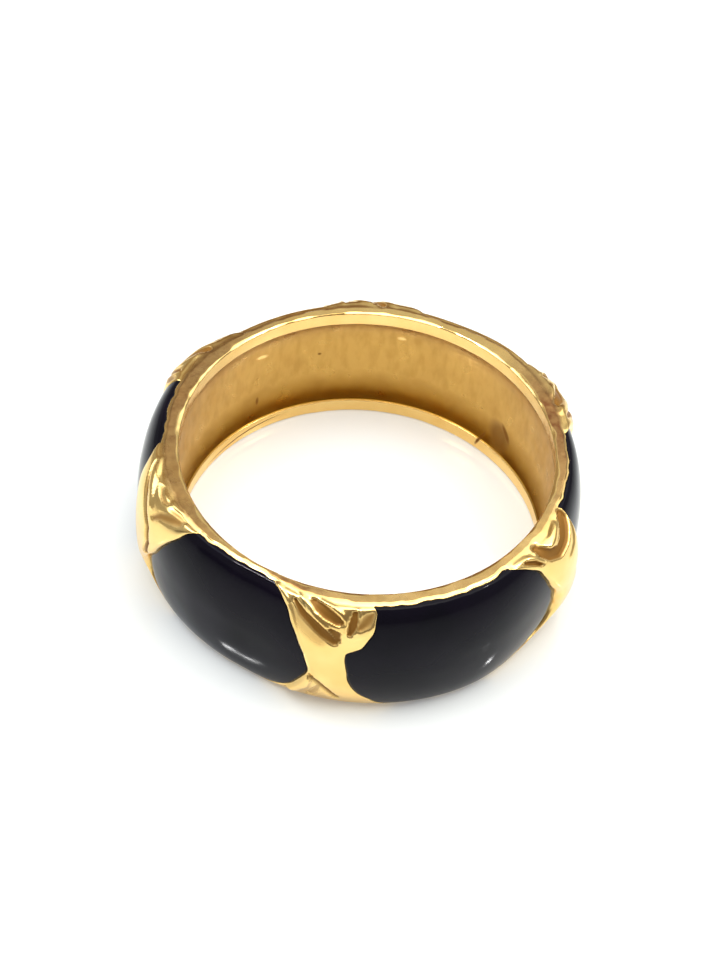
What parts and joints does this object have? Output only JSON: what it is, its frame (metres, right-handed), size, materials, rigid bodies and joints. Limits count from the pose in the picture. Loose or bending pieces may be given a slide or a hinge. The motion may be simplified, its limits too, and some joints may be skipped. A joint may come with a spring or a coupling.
{
  "type": "band ring",
  "caption": "Gold band ring with domed black enamel panels set between carved leaf dividers; worn on a finger.",
  "frame": {"origin": "on the finger hole's axis, in the plane of the lower flat rim that the ring lies on", "axes": "+Z along the finger hole, up out of the ring as it lies on its side; -Y towards the viewer, at the narrow-waisted front divider's side; +X to the viewer's right"},
  "size_m": [0.0204, 0.0207, 0.0068],
  "materials": {
    "gold": "polished yellow gold",
    "black_enamel": "glossy black vitreous enamel"
  },
  "bodies": {
    "root": {"band": "gold", "enamel_front_right": "black_enamel", "enamel_right": "black_enamel", "enamel_back_right": "black_enamel", "enamel_back_left": "black_enamel", "enamel_left": "black_enamel", "enamel_front_left": "black_enamel"}
  },
  "joints": []
}
